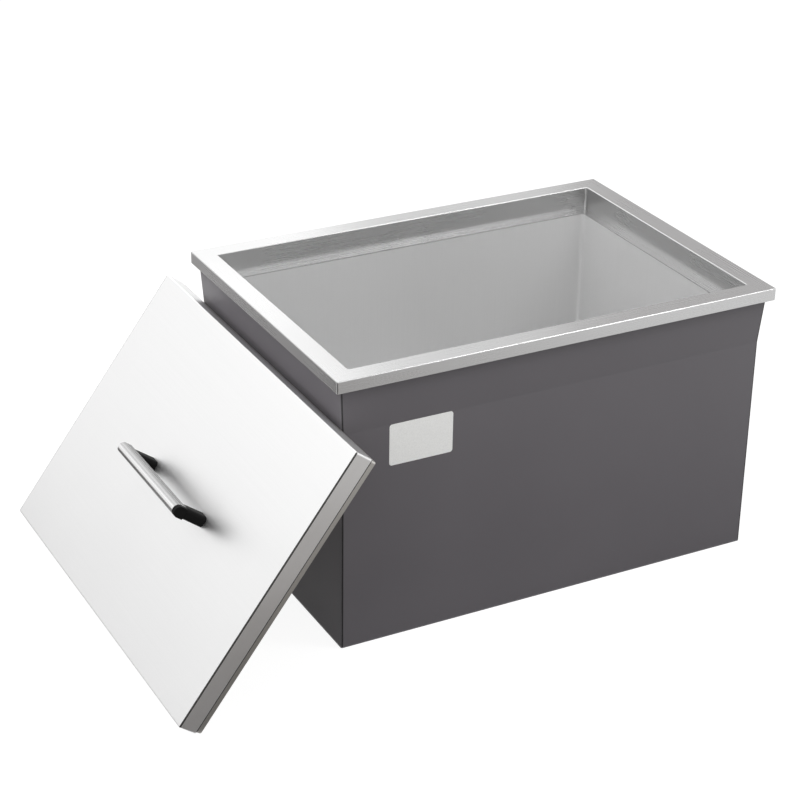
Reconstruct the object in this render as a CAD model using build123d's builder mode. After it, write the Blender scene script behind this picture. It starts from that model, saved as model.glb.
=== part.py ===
from build123d import *
import math
import os

# Drop-in cooler: an insulated steel ice bin that hangs in a worktop cut-out by its
# rim, with a flush lid that here stands on the floor and leans on the bin's left wall.
# Millimetres, +Z up, +X along the front to the right, +Y to the back.
# The origin is the centre of the bin's flat underside.

os.makedirs("parts", exist_ok=True)

# Rim: the flange that rests on the worktop, its down-turned lip and the lid's recess
RIM_L = 508.0
RIM_W = 355.6
HEIGHT = 304.8
LIP = 13.5
SHEET = 1.0
RIM_R = 1.6
FOLD_R = 1.2
MITRE = 0.8
MITRE_DEEP = 0.6
OPEN_L = 463.6
OPEN_W = 313.0
OPEN_R = 2.5
RECESS = 27.0
LEDGE = 9.0

# Outer casing, which flares a little just below the rim
BODY_IN = 9.8
BODY_R = 2.0
FLARE = 3.2
FLARE_H = 50.0
SEAM = 1.5
FOAM_R = 5.0

# Bin, whose floor falls to the drain near the right end
BIN_R = 4.0
FLOOR_Z = 26.0
SUMP_Z = 22.0
SUMP = 56.0
DRAIN_X = 165.0

# Drain fitting: a flanged tail with a 3/4 inch pipe thread inside it
TAIL_R = 18.0
TAIL_END = 0.6
THREAD_R = 12.06
SEAT_R = 15.0
SEAT_Z = 18.0
DRAIN_FLANGE_R = 25.0
DRAIN_TOP = 24.0
SHANK_R = 14.4
PLUG_R = 19.0
PLUG_Z = 25.2
FIN_L = 28.0
FIN_T = 4.0

# Lid: a folded skin over a foam core, closed below by a pan whose hem stands proud,
# with a narrow groove between the skirt and the hem
LID_L = 462.0
LID_W = 310.6
LID_R = 2.0
SKIRT = 19.5
GROOVE = 1.3
HEM = 5.7
HEM_IN = 1.0
HEM_R = 0.8
PAN_IN = 3.0
PAN_TUCK = 5.0
LID_TILT = 53.4
LID_Y = -242.3

# Handle: a domed channel on two legs, screwed on through the lid at 128 mm centres
GRIP_L = 151.5
GRIP_W = 12.0
GRIP_TOP = 38.0
GRIP_LOW = 25.2
GRIP_RISE = 5.0
GRIP_T = 1.0
GRIP_U = 152.6
GRIP_V = 221.3
GRIP_GROOVE = 0.9
CAP = 5.5
HOLES = 128.0
LEGS_V = 218.6
LEG_L = 15.0
FOOT_L = 17.5
LEG_R = 4.0

BODY_L = RIM_L - 2 * BODY_IN
BODY_W = RIM_W - 2 * BODY_IN
BIN_L = OPEN_L - 2 * LEDGE
BIN_W = OPEN_W - 2 * LEDGE
LIP_Z = HEIGHT - LIP
UNDER = HEIGHT - SHEET
LEDGE_Z = HEIGHT - RECESS
FLANGE_Z = LEDGE_Z - SHEET
LINER_TOP = FLANGE_Z - SHEET


def slab(length, width, radius, low, high, x=0.0, y=0.0, mode=Mode.ADD):
    """A rounded rectangle raised from one height to another."""
    with BuildSketch(Plane.XY.offset(low)) as plan:
        with Locations((x, y)):
            RectangleRounded(length, width, radius)
    extrude(plan.sketch, amount=high - low, mode=mode)


def casing(inset, radius):
    """The casing's full form: straight up, then the flare, then the collar."""
    length = BODY_L - 2 * inset
    width = BODY_W - 2 * inset
    with BuildPart() as form:
        slab(length, width, radius, SHEET, LIP_Z - FLARE_H)
        with BuildSketch(Plane.XY.offset(LIP_Z - FLARE_H)):
            RectangleRounded(length, width, radius)
        with BuildSketch(Plane.XY.offset(LIP_Z)):
            RectangleRounded(length + 2 * FLARE, width + 2 * FLARE, radius)
        loft(ruled=True)
        slab(length + 2 * FLARE, width + 2 * FLARE, radius, LIP_Z, UNDER)
    return form.part


def bin_form(grow):
    """The bin's hollow, or with grow its outside: a long and a cross profile, each with
    its fall to the sump, and the plan with its corner radius."""
    half_long = BIN_L / 2 + grow
    half_cross = BIN_W / 2 + grow
    rest = SUMP / 2 + grow
    edge = FLOOR_Z - grow
    sump = SUMP_Z - grow
    with BuildPart() as form:
        with BuildSketch(Plane.XZ):
            with BuildLine():
                Polyline(
                    (-half_long, FLANGE_Z),
                    (-half_long, edge),
                    (DRAIN_X - rest, sump),
                    (DRAIN_X + rest, sump),
                    (half_long, edge),
                    (half_long, FLANGE_Z),
                    close=True,
                )
            make_face()
        extrude(amount=RIM_W, both=True)
        with BuildSketch(Plane.YZ):
            with BuildLine():
                Polyline(
                    (-half_cross, FLANGE_Z),
                    (-half_cross, edge),
                    (-rest, sump),
                    (rest, sump),
                    (half_cross, edge),
                    (half_cross, FLANGE_Z),
                    close=True,
                )
            make_face()
        extrude(amount=RIM_L, both=True, mode=Mode.INTERSECT)
        slab(2 * half_long, 2 * half_cross, BIN_R + grow, 0.0, FLANGE_Z, mode=Mode.INTERSECT)
    return form.part


# Rim frame: flange, lip with its return, recess wall and the ledge the lid rests on;
# the lip's ends leave a fine slit down each corner
with BuildPart() as rim_frame:
    slab(RIM_L, RIM_W, RIM_R, LIP_Z, HEIGHT)
    fillet(rim_frame.faces().sort_by(Axis.Z)[-1].edges(), FOLD_R)
    chamfer(rim_frame.faces().sort_by(Axis.Z)[0].edges(), 0.5)
    slab(RIM_L - 2 * SHEET, RIM_W - 2 * SHEET, RIM_R - SHEET, LIP_Z + SHEET, UNDER, mode=Mode.SUBTRACT)
    slab(BODY_L + 2 * FLARE, BODY_W + 2 * FLARE, BODY_R, LIP_Z, LIP_Z + SHEET, mode=Mode.SUBTRACT)
    slab(OPEN_L + 2 * SHEET, OPEN_W + 2 * SHEET, OPEN_R + SHEET, FLANGE_Z, UNDER)
    slab(OPEN_L, OPEN_W, OPEN_R, LEDGE_Z, HEIGHT, mode=Mode.SUBTRACT)
    slab(BIN_L, BIN_W, BIN_R, FLANGE_Z, LEDGE_Z, mode=Mode.SUBTRACT)
    mouth = rim_frame.faces().filter_by(Plane.XY).sort_by(Axis.Z)[-1].inner_wires()[0]
    chamfer(mouth.edges(), 0.7)
    for x, y in ((-1, -1), (1, -1), (1, 1), (-1, 1)):
        out = RIM_R * (1 - 1 / math.sqrt(2))
        corner = (x * (RIM_L / 2 - out), y * (RIM_W / 2 - out), (LIP_Z + HEIGHT - FOLD_R) / 2)
        with Locations(Location(corner, (0, 0, 45 * x * y))):
            Box(2 * MITRE_DEEP, MITRE, LIP - FOLD_R, mode=Mode.SUBTRACT)
rim_frame.part.label = "rim_frame"
export_step(rim_frame.part, "parts/rim_frame.step")

# Inner liner: hangs by its flange from the underside of the ledge
with BuildPart() as inner_liner:
    slab(OPEN_L, OPEN_W, OPEN_R, LINER_TOP, FLANGE_Z)
    add(bin_form(SHEET))
    add(bin_form(0.0), mode=Mode.SUBTRACT)
    with BuildSketch(Plane.XY.offset(SUMP_Z - 2 * SHEET)):
        with Locations((DRAIN_X, 0)):
            Circle(TAIL_R + 0.3)
    extrude(amount=4 * SHEET, mode=Mode.SUBTRACT)
inner_liner.part.label = "inner_liner"
export_step(inner_liner.part, "parts/inner_liner.step")

# Casing panels: mitred where they meet, with an open seam down each corner
shell = casing(0.0, BODY_R) - casing(SHEET, BODY_R - 0.5 * SHEET)
half_l = BODY_L / 2
half_w = BODY_W / 2
reach = 20.0


def panel(points):
    """One side of the casing: the shell inside a plan outline with mitred ends."""
    with BuildPart() as keep:
        with BuildSketch():
            with BuildLine():
                Polyline(*points, close=True)
            make_face()
        extrude(amount=HEIGHT)
    return shell & keep.part


gap = SEAM * math.sqrt(2)
with BuildPart() as outer_front:
    add(
        panel(
            [
                (-half_l - reach + gap, -half_w - reach),
                (half_l + reach - gap, -half_w - reach),
                (half_l - reach - gap, -half_w + reach),
                (-half_l + reach + gap, -half_w + reach),
            ]
        )
    )
outer_front.part.label = "outer_front"
export_step(outer_front.part, "parts/outer_front.step")

with BuildPart() as outer_back:
    add(mirror(outer_front.part, about=Plane.XZ))
outer_back.part.label = "outer_back"
export_step(outer_back.part, "parts/outer_back.step")

with BuildPart() as outer_left:
    add(
        panel(
            [
                (-half_l - reach, -half_w - reach),
                (-half_l - reach, half_w + reach),
                (-half_l + reach, half_w - reach),
                (-half_l + reach, -half_w + reach),
            ]
        )
    )
outer_left.part.label = "outer_left"
export_step(outer_left.part, "parts/outer_left.step")

with BuildPart() as outer_right:
    add(mirror(outer_left.part, about=Plane.YZ))
outer_right.part.label = "outer_right"
export_step(outer_right.part, "parts/outer_right.step")

# Bottom panel: closes the casing and carries the weight when the bin stands on a floor
with BuildPart() as bottom_panel:
    slab(BODY_L, BODY_W, BODY_R, 0.0, SHEET)
    with BuildSketch():
        with Locations((DRAIN_X, 0)):
            Circle(TAIL_R + 1.0)
    extrude(amount=SHEET, mode=Mode.SUBTRACT)
bottom_panel.part.label = "bottom_panel"
export_step(bottom_panel.part, "parts/bottom_panel.step")

# Foam round the bin, up to the flange, between the liner and the casing; its rounded
# corners stand back from the casing's seams
with BuildPart() as wall_foam:
    add(casing(SHEET, FOAM_R))
    slab(BODY_L, BODY_W, BODY_R, 0.0, FLOOR_Z - SHEET, mode=Mode.SUBTRACT)
    slab(BIN_L + 2 * SHEET, BIN_W + 2 * SHEET, BIN_R + SHEET, FLOOR_Z - SHEET, LINER_TOP, mode=Mode.SUBTRACT)
    slab(OPEN_L, OPEN_W, OPEN_R, LINER_TOP, FLANGE_Z, mode=Mode.SUBTRACT)
    slab(OPEN_L + 2 * SHEET, OPEN_W + 2 * SHEET, OPEN_R + SHEET, FLANGE_Z, UNDER, mode=Mode.SUBTRACT)
wall_foam.part.label = "wall_foam"
export_step(wall_foam.part, "parts/wall_foam.step")

# Foam under the bin, shaped to the falling floor and cut clear of the drain's nut
with BuildPart() as base_foam:
    slab(BODY_L - 2 * SHEET, BODY_W - 2 * SHEET, FOAM_R, SHEET, FLOOR_Z - SHEET)
    add(bin_form(SHEET), mode=Mode.SUBTRACT)
    with BuildSketch(Plane.XY.offset(SHEET)):
        with Locations((DRAIN_X, 0)):
            Circle(30.0)
    extrude(amount=SUMP_Z, mode=Mode.SUBTRACT)
base_foam.part.label = "base_foam"
export_step(base_foam.part, "parts/base_foam.step")

# Drain fitting, turned: flange inside the bin, plug seat, threaded tail
with BuildPart() as drain_body:
    with BuildSketch(Plane.XZ):
        with BuildLine():
            Polyline(
                (THREAD_R, TAIL_END),
                (TAIL_R, TAIL_END),
                (TAIL_R, SUMP_Z),
                (DRAIN_FLANGE_R, SUMP_Z),
                (DRAIN_FLANGE_R, SUMP_Z + 0.8),
                (DRAIN_FLANGE_R - 2.5, DRAIN_TOP),
                (SEAT_R, DRAIN_TOP),
                (SEAT_R, SEAT_Z),
                (THREAD_R, SEAT_Z),
                close=True,
            )
        make_face()
    revolve(axis=Axis.Z)
drain_body.part = Pos(DRAIN_X, 0, 0) * drain_body.part
drain_body.part.label = "drain_body"
export_step(drain_body.part, "parts/drain_body.step")

# Gasket under the sump, drawn up by the locknut
with BuildPart() as drain_gasket:
    with BuildSketch(Plane.XY.offset(SUMP_Z - SHEET - 3.0)):
        with Locations((DRAIN_X, 0)):
            Circle(DRAIN_FLANGE_R)
            Circle(TAIL_R + 0.2, mode=Mode.SUBTRACT)
    extrude(amount=3.0)
drain_gasket.part.label = "drain_gasket"
export_step(drain_gasket.part, "parts/drain_gasket.step")

with BuildPart() as drain_locknut:
    with BuildSketch(Plane.XY.offset(SUMP_Z - SHEET - 11.0)):
        with Locations((DRAIN_X, 0)):
            RegularPolygon(23.0, 6, major_radius=False)
    extrude(amount=8.0)
    chamfer(drain_locknut.faces().sort_by(Axis.Z)[0].edges(), 0.8)
    with BuildSketch(Plane.XY.offset(SUMP_Z - SHEET - 11.0)):
        with Locations((DRAIN_X, 0)):
            Circle(TAIL_R + 0.05)
    extrude(amount=8.0, mode=Mode.SUBTRACT)
drain_locknut.part.label = "drain_locknut"
export_step(drain_locknut.part, "parts/drain_locknut.step")

# Drain plug: a shank, a flange that seats on its washer and a fin to pull it by
with BuildPart() as drain_plug_body:
    with BuildSketch(Plane.XZ):
        with BuildLine():
            Polyline(
                (0.0, SEAT_Z + 0.3),
                (SHANK_R, SEAT_Z + 0.3),
                (SHANK_R, PLUG_Z),
                (PLUG_R, PLUG_Z),
                (PLUG_R - 1.0, PLUG_Z + 3.0),
                (0.0, PLUG_Z + 3.0),
                close=True,
            )
        make_face()
    revolve(axis=Axis.Z)
    with BuildSketch(Plane.XZ.offset(-FIN_T / 2)):
        with BuildLine():
            Polyline(
                (-FIN_L / 2, PLUG_Z + 2.0),
                (FIN_L / 2, PLUG_Z + 2.0),
                (FIN_L / 2 - 3.0, PLUG_Z + 15.0),
                (-FIN_L / 2 + 3.0, PLUG_Z + 15.0),
                close=True,
            )
        outline = make_face()
        fillet(outline.vertices().sort_by(Axis.Z)[-2:], 4.0)
    extrude(amount=FIN_T)
drain_plug_body.part = Pos(DRAIN_X, 0, 0) * drain_plug_body.part
drain_plug_body.part.label = "drain_plug_body"
export_step(drain_plug_body.part, "parts/drain_plug_body.step")

# Plug seal: a flat washer between the plug's flange and the fitting
with BuildPart() as drain_plug_seal:
    with BuildSketch(Plane.XY.offset(DRAIN_TOP)):
        with Locations((DRAIN_X, 0)):
            Circle(PLUG_R - 0.8)
            Circle(SHANK_R + 0.1, mode=Mode.SUBTRACT)
    extrude(amount=PLUG_Z - DRAIN_TOP)
drain_plug_seal.part.label = "drain_plug_seal"
export_step(drain_plug_seal.part, "parts/drain_plug_seal.step")

# The lid is drawn lying on its own plane: x up the slope, y to the back, z out of the
# face, with the face at zero and its lower front corner at the origin. The lean sets
# the hem's lower edge on the floor and its upper edge against the casing.
tilt = math.radians(LID_TILT)
up_slope = (math.cos(tilt), 0.0, math.sin(tilt))
outward = (-math.sin(tilt), 0.0, math.cos(tilt))
depth = SKIRT + GROOVE + HEM - HEM_R
low_drop = (HEM_IN + HEM_R) * up_slope[2] - depth * outward[2] - HEM_R
high_reach = (LID_W - HEM_IN - HEM_R) * up_slope[0] - depth * outward[0] + HEM_R
high_z = (LID_W - HEM_IN - HEM_R) * up_slope[2] - depth * outward[2] - low_drop
wall_out = FLARE * max(0.0, high_z + HEM_R - LIP_Z + FLARE_H) / FLARE_H
LEAN = Plane(
    origin=(-BODY_L / 2 - wall_out - high_reach - 0.05, LID_Y, -low_drop),
    x_dir=up_slope,
    z_dir=outward,
).location
mid_u = LID_W / 2
mid_v = LID_L / 2
leg_v = [LEGS_V - HOLES / 2, LEGS_V + HOLES / 2]

# Lid skin: face and skirt folded from one sheet, drilled for the handle
with BuildPart() as lid_skin:
    slab(LID_W, LID_L, LID_R, -SKIRT, 0.0, mid_u, mid_v)
    fillet(lid_skin.faces().sort_by(Axis.Z)[-1].edges(), FOLD_R)
    slab(LID_W - 2 * SHEET, LID_L - 2 * SHEET, LID_R - SHEET, -SKIRT, -SHEET, mid_u, mid_v, Mode.SUBTRACT)
    with BuildSketch(Plane.XY.offset(-SHEET)):
        with Locations(*[(GRIP_U, v) for v in leg_v]):
            Circle(2.8)
    extrude(amount=SHEET, mode=Mode.SUBTRACT)
lid_skin.part = LEAN * lid_skin.part
lid_skin.part.label = "lid_skin"
export_step(lid_skin.part, "parts/lid_skin.step")

# Lid pan: its wall tucks up inside the skirt, and its hem is folded back on itself
with BuildPart() as lid_pan:
    low = -SKIRT - GROOVE - HEM
    slab(LID_W - 2 * HEM_IN, LID_L - 2 * HEM_IN, 2.0, low, low + HEM, mid_u, mid_v)
    fillet(lid_pan.faces().sort_by(Axis.Z)[0].edges(), HEM_R)
    slab(LID_W - 2 * PAN_IN, LID_L - 2 * PAN_IN, 1.0, low + HEM, -SKIRT + PAN_TUCK, mid_u, mid_v)
    slab(
        LID_W - 2 * PAN_IN - 2 * SHEET,
        LID_L - 2 * PAN_IN - 2 * SHEET,
        1.0,
        low + SHEET,
        -SKIRT + PAN_TUCK,
        mid_u,
        mid_v,
        Mode.SUBTRACT,
    )
lid_pan.part = LEAN * lid_pan.part
lid_pan.part.label = "lid_pan"
export_step(lid_pan.part, "parts/lid_pan.step")

# Lid foam: fills the skin and the pan, cut out for the backing plate and screw heads
with BuildPart() as lid_foam:
    slab(LID_W - 2 * SHEET, LID_L - 2 * SHEET, LID_R - SHEET, -SKIRT + PAN_TUCK, -SHEET, mid_u, mid_v)
    slab(
        LID_W - 2 * PAN_IN - 2 * SHEET,
        LID_L - 2 * PAN_IN - 2 * SHEET,
        1.0,
        -SKIRT - GROOVE - HEM + SHEET,
        -SKIRT + PAN_TUCK,
        mid_u,
        mid_v,
    )
    slab(40.0, 180.0, 4.0, -SHEET - 2.0, -SHEET, GRIP_U, GRIP_V, Mode.SUBTRACT)
    with BuildSketch(Plane.XY.offset(-10.0)):
        with Locations(*[(GRIP_U, v) for v in leg_v]):
            Circle(7.5)
    extrude(amount=8.0, mode=Mode.SUBTRACT)
lid_foam.part = LEAN * lid_foam.part
lid_foam.part.label = "lid_foam"
export_step(lid_foam.part, "parts/lid_foam.step")

# Backing plate: spreads the handle's pull over the thin skin
with BuildPart() as lid_backing_plate:
    slab(40.0, 180.0, 4.0, -SHEET - 2.0, -SHEET, GRIP_U, GRIP_V)
    with BuildSketch(Plane.XY.offset(-SHEET - 2.0)):
        with Locations(*[(GRIP_U, v) for v in leg_v]):
            Circle(2.8)
    extrude(amount=2.0, mode=Mode.SUBTRACT)
lid_backing_plate.part = LEAN * lid_backing_plate.part
lid_backing_plate.part.label = "lid_backing_plate"
export_step(lid_backing_plate.part, "parts/lid_backing_plate.step")


def dome(inset, low):
    """The grip's section, or what fits inside it: straight sides under a round top."""
    half = GRIP_W / 2 - inset
    shoulder = GRIP_TOP - GRIP_RISE
    with BuildLine() as outline:
        Polyline((half, shoulder), (half, low), (-half, low), (-half, shoulder))
        ThreePointArc((-half, shoulder), (0, GRIP_TOP - inset), (half, shoulder))
    make_face(outline.edges())


# Grip: a domed channel, open below, with two fine grooves along each side
grip_front = GRIP_V - GRIP_L / 2 + CAP
grip_back = GRIP_V + GRIP_L / 2
with BuildPart() as handle_grip:
    with BuildSketch(Plane.XZ):
        dome(0.0, GRIP_LOW)
    extrude(amount=grip_front - grip_back)
    with BuildSketch(Plane.XZ):
        dome(GRIP_T, GRIP_LOW - 1.0)
    extrude(amount=grip_front - grip_back, mode=Mode.SUBTRACT)
    for side in (-1, 1):
        for rise in (2.0, 5.2):
            with BuildSketch(Plane.XZ):
                with Locations((side * GRIP_W / 2, GRIP_LOW + rise)):
                    Rectangle(GRIP_GROOVE, GRIP_GROOVE)
            extrude(amount=grip_front - grip_back, mode=Mode.SUBTRACT)
handle_grip.part = LEAN * Pos(GRIP_U, grip_front, 0) * handle_grip.part
handle_grip.part.label = "handle_grip"
export_step(handle_grip.part, "parts/handle_grip.step")


def leg(foot, head_end, cap_end):
    """A handle leg: a column that widens to its foot, a head that plugs into the grip
    and, where cap_end is further out, a cap. Places are along the lid, from its front."""
    with BuildPart() as made:
        with BuildSketch():
            with Locations((0.0, foot)):
                RectangleRounded(GRIP_W, FOOT_L, LEG_R)
        with BuildSketch(Plane.XY.offset(GRIP_LOW)):
            with Locations((0.0, foot)):
                RectangleRounded(GRIP_W, LEG_L, LEG_R)
        loft(ruled=True)
        with BuildSketch(Plane.XZ.offset(-foot)):
            dome(GRIP_T + 0.05, GRIP_LOW)
        extrude(amount=foot - head_end)
        if cap_end != head_end:
            with BuildSketch(Plane.XZ.offset(-head_end)):
                dome(0.0, GRIP_LOW)
            extrude(amount=head_end - cap_end)
        with BuildSketch():
            with Locations((0.0, foot)):
                Circle(2.55)
        extrude(amount=14.0, mode=Mode.SUBTRACT)
    return made.part


with BuildPart() as handle_leg_front:
    add(leg(leg_v[0], grip_front - 0.05, grip_front - CAP))
handle_leg_front.part = LEAN * Pos(GRIP_U, 0, 0) * handle_leg_front.part
handle_leg_front.part.label = "handle_leg_front"
export_step(handle_leg_front.part, "parts/handle_leg_front.step")

with BuildPart() as handle_leg_rear:
    add(leg(leg_v[1], grip_back - 1.5, grip_back - 1.5))
handle_leg_rear.part = LEAN * Pos(GRIP_U, 0, 0) * handle_leg_rear.part
handle_leg_rear.part.label = "handle_leg_rear"
export_step(handle_leg_rear.part, "parts/handle_leg_rear.step")

# Screws from inside the lid into the legs, and their washers
with BuildPart() as handle_screws:
    with BuildSketch(Plane.XY.offset(-4.0)):
        with Locations(*[(GRIP_U, v) for v in leg_v]):
            Circle(2.5)
    extrude(amount=16.0)
    with BuildSketch(Plane.XY.offset(-7.5)):
        with Locations(*[(GRIP_U, v) for v in leg_v]):
            Circle(4.5)
    extrude(amount=3.5)
    with BuildSketch(Plane.XY.offset(-7.5)):
        with Locations(*[(GRIP_U, v) for v in leg_v]):
            RegularPolygon(2.0, 6, major_radius=False)
    extrude(amount=2.0, mode=Mode.SUBTRACT)
handle_screws.part = LEAN * handle_screws.part
handle_screws.part.label = "handle_screws"
export_step(handle_screws.part, "parts/handle_screws.step")

with BuildPart() as handle_washers:
    with BuildSketch(Plane.XY.offset(-4.0)):
        with Locations(*[(GRIP_U, v) for v in leg_v]):
            Circle(6.0)
            Circle(2.8, mode=Mode.SUBTRACT)
    extrude(amount=1.0)
handle_washers.part = LEAN * handle_washers.part
handle_washers.part.label = "handle_washers"
export_step(handle_washers.part, "parts/handle_washers.step")
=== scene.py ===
"""Looks for a drop-in cooler: an insulated steel ice bin with a flanged rim, standing on
a pale floor, with its lid leaning on the left side of the casing."""

import math

import bmesh
import bpy
from mathutils import Matrix, Vector


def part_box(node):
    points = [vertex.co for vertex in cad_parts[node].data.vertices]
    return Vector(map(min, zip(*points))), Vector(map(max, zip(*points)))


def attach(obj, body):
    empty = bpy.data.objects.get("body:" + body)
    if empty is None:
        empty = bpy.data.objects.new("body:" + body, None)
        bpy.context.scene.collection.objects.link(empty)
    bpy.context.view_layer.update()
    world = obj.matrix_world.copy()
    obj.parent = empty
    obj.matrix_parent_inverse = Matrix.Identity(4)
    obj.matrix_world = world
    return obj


bl_info = {
    "name": "Drop-in cooler",
    "version": (1, 0, 0),
    "blender": (4, 5, 0),
    "location": "3D View > Sidebar > Cooler",
    "description": "Finishes, label plate, handle and studio for a drop-in cooler",
    "category": "Object",
}

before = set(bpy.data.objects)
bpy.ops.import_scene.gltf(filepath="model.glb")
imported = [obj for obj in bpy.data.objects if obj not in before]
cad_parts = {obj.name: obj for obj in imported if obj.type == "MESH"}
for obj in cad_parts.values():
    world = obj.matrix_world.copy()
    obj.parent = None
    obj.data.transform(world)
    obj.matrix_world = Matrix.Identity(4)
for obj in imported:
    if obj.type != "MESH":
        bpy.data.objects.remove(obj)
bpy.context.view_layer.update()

MM = 0.001

# Lid: its lean, the low front corner of its face, its size, the direction up its face
# and the direction out of it
LID_TILT = math.radians(53.4)
LID_CORNER = Vector((-450.23, -242.30, 14.68)) * MM
LID_W = 310.6 * MM
LID_L = 462.0 * MM
LID_UP = Vector((math.cos(LID_TILT), 0.0, math.sin(LID_TILT)))
LID_OUT = Vector((-math.sin(LID_TILT), 0.0, math.cos(LID_TILT)))

# How far the painted dark reflection reaches to each side of the lid's end folds
FOLD_REACH = 1.3 * MM

# Dark strip of painted shade in the lid's groove: the depth of its middle below the face,
# how far its middle lies inside the lid's outline, the radius of its corners and its section
STRIP_DROP = 20.15 * MM
STRIP_INSET = 1.65 * MM
STRIP_CORNER = 1.4 * MM
STRIP_ACROSS = 2.5 * MM
STRIP_THICK = 1.1 * MM

# Grip: how far up the lid its middle is, and where the painted dark reflection on its
# shoulders starts and where it is full, measured sideways from its middle
GRIP_U = 152.6 * MM
CROWN_FLAT = 0.5 * MM
CROWN_END = 5.6 * MM

# Label plate: the front panel's face that it lies on, and its middle
FRONT_FACE = -168.0 * MM
LABEL_X = -157.4 * MM
LABEL_Z = 219.0 * MM

# Casing corners: the heights between which they flare, the flare, the height at which the
# seams' strips of painted shade end under the flange, and their section from the corner in
# millimetres
FLARE_LOW = 241.3 * MM
FLARE_HIGH = 291.3 * MM
FLARE_OUT = 3.2 * MM
SEAM_SHADE_TOP = 303.5 * MM
SEAM_SHADE_PLAN = ((-0.9, -0.85), (-2.2, -0.2), (-2.9, -0.9), (-1.6, -1.55))

# Slits in the rim's lip: where their dark strips of painted shade start and end below the
# rim's top, how far each strip's middle lies inside the lip's corner, and its section
SLIT_TOP = 1.25 * MM
SLIT_END = 12.9 * MM
SLIT_INSET = 0.709 * MM
SLIT_ACROSS = 0.76 * MM
SLIT_THICK = 0.44 * MM

# Camera: its focal length on a 36 mm frame, its place in metres and its directions
CAMERA_LENS = 97.365
CAMERA_PLACE = (-1.059692, -1.817013, 1.198430)
CAMERA_RIGHT = Vector((0.8858201, -0.4638191, 0.0139515))
CAMERA_UP = Vector((0.1960716, 0.4013770, 0.8946801))
CAMERA_BACK = Vector((-0.4205695, -0.7897901, 0.4464895))

# Heights in metres of the floor, which lies just clear of the casing's underside, and of
# the cards and the shade that lie on it
FLOOR_Z = -0.0002
CARD_Z = 0.001
SHADE_Z = 0.0016


def linear(code):
    """An sRGB hex colour as linear red, green and blue."""
    out = []
    for i in (1, 3, 5):
        c = int(code[i : i + 2], 16) / 255
        out.append(c / 12.92 if c <= 0.04045 else ((c + 0.055) / 1.055) ** 2.4)
    return tuple(out)


def toned(color, share):
    """A linear colour taken down or up by a share, with its alpha."""
    return (*[min(1, c * share) for c in color], 1)


def add_node(tree, kind, inputs=None, **settings):
    """One node with its settings; an input is a value, or an output socket to link."""
    made = tree.nodes.new(kind)
    for key, value in settings.items():
        setattr(made, key, value)
    for key, value in (inputs or {}).items():
        if isinstance(value, bpy.types.NodeSocket):
            tree.links.new(value, made.inputs[key])
        else:
            made.inputs[key].default_value = value
    return made


def new_material(name):
    """An empty node material, its tree and its output node."""
    finish = bpy.data.materials.new(name)
    finish.use_nodes = True
    finish.node_tree.nodes.clear()
    return finish, finish.node_tree, finish.node_tree.nodes.new("ShaderNodeOutputMaterial")


def dress(node_name, finish):
    """Gives a CAD node its finish."""
    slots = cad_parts[node_name].data.materials
    slots.clear()
    slots.append(finish)


def keep_piece(mesh, name, body):
    """Links a finished mesh as a piece of the object that rides on a body."""
    piece = bpy.data.objects.new(name, mesh)
    bpy.context.scene.collection.objects.link(piece)
    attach(piece, body)


def write_mesh(shape, mesh):
    """Turns a shape's faces outward, writes it to its mesh and frees it."""
    bmesh.ops.recalc_face_normals(shape, faces=shape.faces)
    shape.to_mesh(mesh)
    shape.free()


def shape_tree(name, sizes):
    """An empty Geometry Nodes tree with named inputs, and its input and output nodes."""
    tree = bpy.data.node_groups.new(name, "GeometryNodeTree")
    for label in sizes:
        tree.interface.new_socket(label, in_out="INPUT", socket_type="NodeSocketFloat")
    tree.interface.new_socket("Material", in_out="INPUT", socket_type="NodeSocketMaterial")
    tree.interface.new_socket("Geometry", in_out="OUTPUT", socket_type="NodeSocketGeometry")
    return tree, tree.nodes.new("NodeGroupInput"), tree.nodes.new("NodeGroupOutput")


def close_tree(tree, given, output, shape):
    """Ends a tree: its instances are made real and get the material."""
    real = add_node(tree, "GeometryNodeRealizeInstances", {0: shape})
    coated = add_node(
        tree,
        "GeometryNodeSetMaterial",
        {"Geometry": real.outputs[0], "Material": given.outputs["Material"]},
    )
    tree.links.new(coated.outputs[0], output.inputs[0])


def grow_mesh(tree, values):
    """The plain mesh that a tree makes from the values of its inputs."""
    holder = bpy.data.objects.new(tree.name, bpy.data.meshes.new(tree.name))
    bpy.context.scene.collection.objects.link(holder)
    growth = holder.modifiers.new(tree.name, "NODES")
    growth.node_group = tree
    for item in tree.interface.items_tree:
        if item.item_type == "SOCKET" and item.in_out == "INPUT":
            growth[item.identifier] = values[item.name]
    bpy.context.view_layer.update()
    seen = holder.evaluated_get(bpy.context.evaluated_depsgraph_get())
    mesh = bpy.data.meshes.new_from_object(seen)
    bpy.data.objects.remove(holder)
    shape = bmesh.new()
    shape.from_mesh(mesh)
    write_mesh(shape, mesh)
    return mesh


# Finishes


def brush_marks(tree, place, along, grain_mm, reach_mm):
    """Noise drawn out along one axis: the fine parallel scratches of brushed sheet."""
    scale = [1000 / grain_mm] * 3
    scale["XYZ".index(along)] = 1000 / reach_mm
    stretch = add_node(
        tree,
        "ShaderNodeMapping",
        {"Vector": place.outputs["Object"], "Scale": scale},
    )
    marks = add_node(
        tree,
        "ShaderNodeTexNoise",
        {"Vector": stretch.outputs[0], "Scale": 1.0, "Detail": 3.0, "Roughness": 0.6},
    )
    return marks.outputs["Fac"]


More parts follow.
